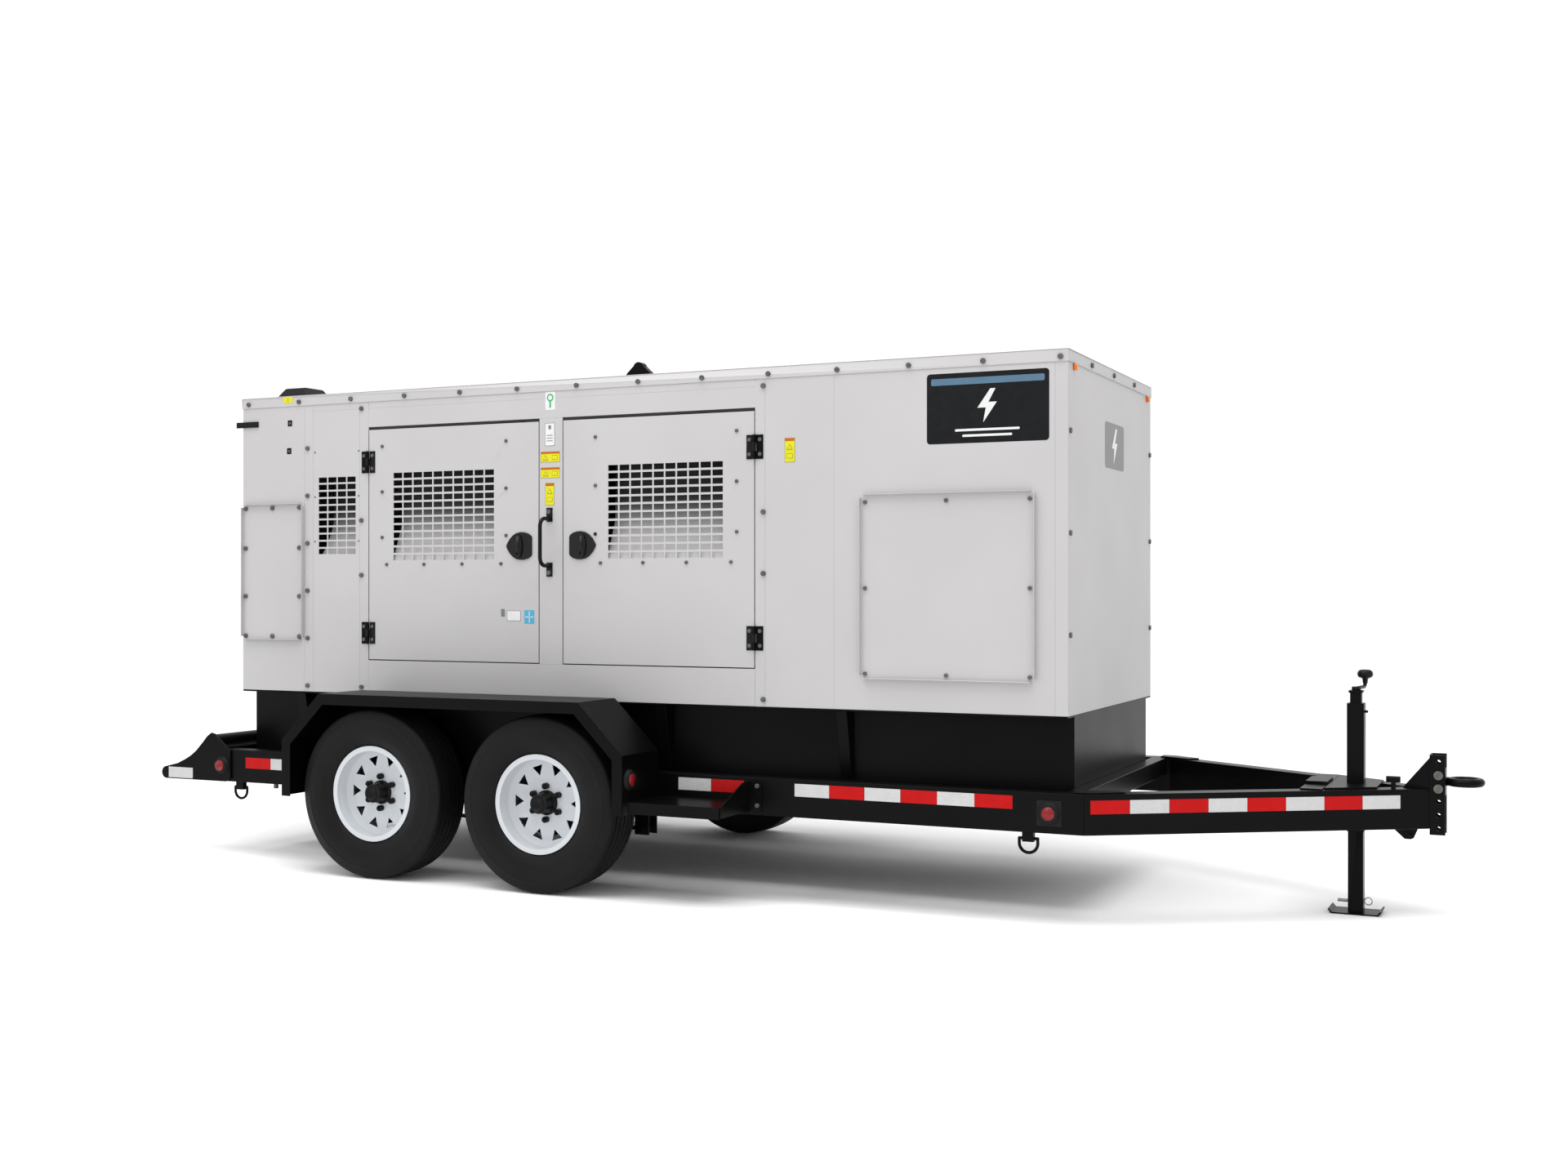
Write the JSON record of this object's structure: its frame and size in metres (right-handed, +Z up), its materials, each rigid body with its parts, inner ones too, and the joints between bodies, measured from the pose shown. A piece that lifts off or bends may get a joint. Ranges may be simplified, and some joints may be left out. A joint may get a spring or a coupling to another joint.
{
  "type": "towable diesel generator",
  "caption": "Diesel generator in a sheet-metal canopy on a two-axle trailer frame, with fenders, side doors, top-wind jack and towing eye.",
  "frame": {"origin": "Centre of the bounding box in plan, on the ground.", "axes": "+X runs forward to the towing eye, +Y to the trailer's left side seen from behind, the side with the second pair of wheels, +Z up."},
  "size_m": [5.8878, 2.159, 2.328],
  "materials": {
    "canopy_white": "satin powder coat",
    "frame_black": "satin paint",
    "tyre_rubber": "moulded rubber",
    "rim_white": "gloss enamel",
    "lens_red": "clear moulded lens",
    "lamp_rubber": "matt moulded rubber",
    "zinc_steel": "zinc plated",
    "engine_paint": "semi gloss enamel",
    "cast_grey": "painted casting",
    "radiator_black": "matt black fins",
    "knob_black": "moulded",
    "silencer_steel": "aluminised steel"
  },
  "bodies": {
    "trailer": {"side_rails": "frame_black", "tongue_rails": "frame_black", "crossmembers": "frame_black", "rear_end_plates": "frame_black", "rear_bumper": "frame_black", "lamp_grommets": "lamp_rubber", "lamp_lenses": "lens_red", "hitch_channel": "frame_black", "lunette_ring": "frame_black", "jack_outer_tube": "frame_black", "tongue_fittings": "frame_black", "axle_beams": "frame_black", "leaf_springs": "frame_black", "spring_hangers": "frame_black", "near_fender": "frame_black", "far_fender": "frame_black", "side_steps": "frame_black", "tie_down_brackets": "frame_black", "base_tank": "frame_black", "near_wall": "canopy_white", "far_wall": "canopy_white", "front_wall": "canopy_white", "rear_frame": "canopy_white", "roof": "canopy_white", "access_covers": "canopy_white", "hinge_leaves": "canopy_white", "grab_handles": "frame_black", "fasteners": "zinc_steel", "lifting_eye": "frame_black", "roof_cover": "frame_black", "engine": "engine_paint", "alternator": "cast_grey", "radiator": "radiator_black", "silencer": "silencer_steel", "control_panel": "engine_paint", "battery": "knob_black"},
    "wheel_front_near_body": {"tyre_front_near": "tyre_rubber", "wheel_front_near": "rim_white"},
    "wheel_rear_near_body": {"tyre_rear_near": "tyre_rubber", "wheel_rear_near": "rim_white"},
    "ring_front_near_body": {"ring_front_near": "frame_black"},
    "ring_rear_near_body": {"ring_rear_near": "frame_black"},
    "door_rear_near_body": {"door_rear_near": "canopy_white"},
    "latch_rear_near_body": {"latch_rear_near": "knob_black"},
    "door_front_near_body": {"door_front_near": "canopy_white"},
    "latch_front_near_body": {"latch_front_near": "knob_black"},
    "wheel_front_far_body": {"tyre_front_far": "tyre_rubber", "wheel_front_far": "rim_white"},
    "wheel_rear_far_body": {"tyre_rear_far": "tyre_rubber", "wheel_rear_far": "rim_white"},
    "ring_front_far_body": {"ring_front_far": "frame_black"},
    "ring_rear_far_body": {"ring_rear_far": "frame_black"},
    "door_rear_far_body": {"door_rear_far": "canopy_white"},
    "latch_rear_far_body": {"latch_rear_far": "knob_black"},
    "door_front_far_body": {"door_front_far": "canopy_white"},
    "latch_front_far_body": {"latch_front_far": "knob_black"},
    "rear_door_body": {"rear_door": "canopy_white"},
    "jack_leg_body": {"jack_leg": "zinc_steel"},
    "jack_crank_body": {"jack_crank": "knob_black"},
    "fan_body": {"cooling_fan": "knob_black"}
  },
  "joints": [
    {"name": "wheel_front_near_spin", "type": "hinge", "parent": "trailer", "child": "wheel_front_near_body", "pos_m": [-0.6295, -0.944, 0.37], "axis": [0, 1, 0], "continuous": true},
    {"name": "wheel_rear_near_spin", "type": "hinge", "parent": "trailer", "child": "wheel_rear_near_body", "pos_m": [-1.4858, -0.944, 0.37], "axis": [0, 1, 0], "continuous": true},
    {"name": "ring_front_near_swing", "type": "hinge", "parent": "trailer", "child": "ring_front_near_body", "pos_m": [1.387, -0.76, 0.322], "axis": [1, 0, 0], "range_deg": [-80, 80]},
    {"name": "ring_rear_near_swing", "type": "hinge", "parent": "trailer", "child": "ring_rear_near_body", "pos_m": [-2.473, -0.76, 0.322], "axis": [1, 0, 0], "range_deg": [-80, 80]},
    {"name": "door_rear_near_swing", "type": "hinge", "parent": "trailer", "child": "door_rear_near_body", "pos_m": [-1.779, -0.695, 1.4645], "axis": [0, 0, -1], "range_deg": [0, 110]},
    {"name": "latch_rear_near_turn", "type": "hinge", "parent": "door_rear_near_body", "child": "latch_rear_near_body", "pos_m": [-0.9495, -0.686, 1.449], "axis": [0, 1, 0], "range_deg": [0, 90]},
    {"name": "door_front_near_swing", "type": "hinge", "parent": "trailer", "child": "door_front_near_body", "pos_m": [0.2034, -0.695, 1.4645], "axis": [0, 0, 1], "range_deg": [0, 110]},
    {"name": "latch_front_near_turn", "type": "hinge", "parent": "door_front_near_body", "child": "latch_front_near_body", "pos_m": [-0.6237, -0.686, 1.449], "axis": [0, -1, 0], "range_deg": [0, 90]},
    {"name": "wheel_front_far_spin", "type": "hinge", "parent": "trailer", "child": "wheel_front_far_body", "pos_m": [-0.6295, 0.944, 0.37], "axis": [0, 1, 0], "continuous": true},
    {"name": "wheel_rear_far_spin", "type": "hinge", "parent": "trailer", "child": "wheel_rear_far_body", "pos_m": [-1.4858, 0.944, 0.37], "axis": [0, 1, 0], "continuous": true},
    {"name": "ring_front_far_swing", "type": "hinge", "parent": "trailer", "child": "ring_front_far_body", "pos_m": [1.387, 0.76, 0.322], "axis": [1, 0, 0], "range_deg": [-80, 80]},
    {"name": "ring_rear_far_swing", "type": "hinge", "parent": "trailer", "child": "ring_rear_far_body", "pos_m": [-2.473, 0.76, 0.322], "axis": [1, 0, 0], "range_deg": [-80, 80]},
    {"name": "door_rear_far_swing", "type": "hinge", "parent": "trailer", "child": "door_rear_far_body", "pos_m": [-1.779, 0.695, 1.4645], "axis": [0, 0, 1], "range_deg": [0, 110]},
    {"name": "latch_rear_far_turn", "type": "hinge", "parent": "door_rear_far_body", "child": "latch_rear_far_body", "pos_m": [-0.9495, 0.686, 1.449], "axis": [0, 1, 0], "range_deg": [0, 90]},
    {"name": "door_front_far_swing", "type": "hinge", "parent": "trailer", "child": "door_front_far_body", "pos_m": [0.2034, 0.695, 1.4645], "axis": [0, 0, -1], "range_deg": [0, 110]},
    {"name": "latch_front_far_turn", "type": "hinge", "parent": "door_front_far_body", "child": "latch_front_far_body", "pos_m": [-0.6237, 0.686, 1.449], "axis": [0, -1, 0], "range_deg": [0, 90]},
    {"name": "rear_door_lift", "type": "hinge", "parent": "trailer", "child": "rear_door_body", "pos_m": [-2.548, 0, 2.0445], "axis": [0, 1, 0], "range_deg": [0, 95]},
    {"name": "jack_crank_turn", "type": "hinge", "parent": "trailer", "child": "jack_crank_body", "pos_m": [2.479, 0, 0.87], "axis": [0, 0, 1], "range_deg": [0, 8640]},
    {"name": "jack_leg_slide", "type": "slide", "parent": "trailer", "child": "jack_leg_body", "axis": [0, 0, 1], "range_m": [0, 0.2405]},
    {"name": "fan_spin", "type": "hinge", "parent": "trailer", "child": "fan_body", "pos_m": [0.44, 0, 1.23], "axis": [1, 0, 0], "continuous": true}
  ],
  "couplings": [
    {"joint": "jack_leg_slide", "follows": "jack_crank_turn", "m_per_rad": 0.0015915}
  ]
}
